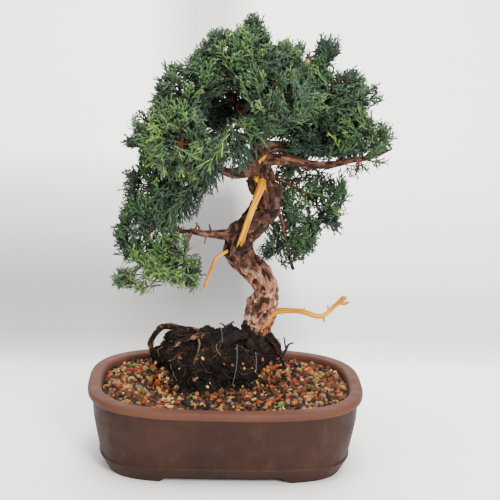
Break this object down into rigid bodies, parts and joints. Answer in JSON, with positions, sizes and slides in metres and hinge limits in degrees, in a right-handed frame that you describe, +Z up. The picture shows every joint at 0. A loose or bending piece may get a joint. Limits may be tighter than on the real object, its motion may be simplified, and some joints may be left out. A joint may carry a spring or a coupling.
{
  "type": "juniper bonsai in a pot",
  "caption": "Small juniper bonsai with a curving trunk, tiered scale foliage and stripped deadwood, rooted on a peat mound in an oval footed stoneware pot.",
  "frame": {"origin": "bottom centre of the whole plant's bounding box, on the level of the feet under the pot", "axes": "+Z up, +X to the plant's right along the pot's length, +Y to its back; the front of the tree faces -Y"},
  "size_m": [0.2267, 0.151, 0.3406],
  "materials": {
    "pot_finish": "unglazed red-brown stoneware, matt",
    "soil_finish": "mixed tan, red and grey grit",
    "mound_finish": "near-black fibrous peat",
    "root_finish": "dark flaking root bark",
    "bark_finish": "flaking red-brown bark in plates",
    "bough_finish": "finer red-brown bark",
    "deadwood_finish": "stripped pale golden wood",
    "wire_finish": "black coated wire",
    "foliage_finish": "green scale foliage"
  },
  "bodies": {
    "root": {"bough_apex": "bough_finish", "bough_back": "bough_finish", "bough_back_left": "bough_finish", "bough_front": "bough_finish", "bough_hanging": "bough_finish", "bough_hanging_out": "bough_finish", "bough_left": "bough_finish", "bough_left_down": "bough_finish", "bough_left_mid": "bough_finish", "bough_left_out": "bough_finish", "bough_left_up": "bough_finish", "bough_long_right": "bough_finish", "bough_low_left": "bough_finish", "bough_right_back": "bough_finish", "bough_thick_right": "bough_finish", "bough_top_front": "bough_finish", "bough_top_left": "bough_finish", "bough_top_right": "bough_finish", "bough_up_right": "bough_finish", "bough_upper_left": "bough_finish", "deadwood_front": "deadwood_finish", "deadwood_left": "deadwood_finish", "deadwood_right": "deadwood_finish", "foliage_apex": "foliage_finish", "foliage_back_left": "foliage_finish", "foliage_back_right": "foliage_finish", "foliage_back_top": "foliage_finish", "foliage_column_inner": "foliage_finish", "foliage_column_lower": "foliage_finish", "foliage_column_upper": "foliage_finish", "foliage_fan": "foliage_finish", "foliage_far_right": "foliage_finish", "foliage_front_left": "foliage_finish", "foliage_front_low": "foliage_finish", "foliage_front_right": "foliage_finish", "foliage_hanging_low": "foliage_finish", "foliage_hanging_mid": "foliage_finish", "foliage_hanging_upper": "foliage_finish", "foliage_left_mid": "foliage_finish", "foliage_left_upper": "foliage_finish", "foliage_lowest_left": "foliage_finish", "foliage_lowest_right": "foliage_finish", "foliage_right_mid": "foliage_finish", "foliage_right_outer": "foliage_finish", "foliage_right_upper": "foliage_finish", "foliage_top_front": "foliage_finish", "foliage_top_left": "foliage_finish", "foliage_top_right": "foliage_finish", "pot": "pot_finish", "root_front": "root_finish", "root_left_arch": "root_finish", "root_left_thin": "root_finish", "root_mound": "mound_finish", "root_right": "root_finish", "soil": "soil_finish", "stub_top": "bough_finish", "tie_wire_right": "wire_finish", "tie_wire_top": "wire_finish", "trunk": "bark_finish"}
  },
  "joints": []
}
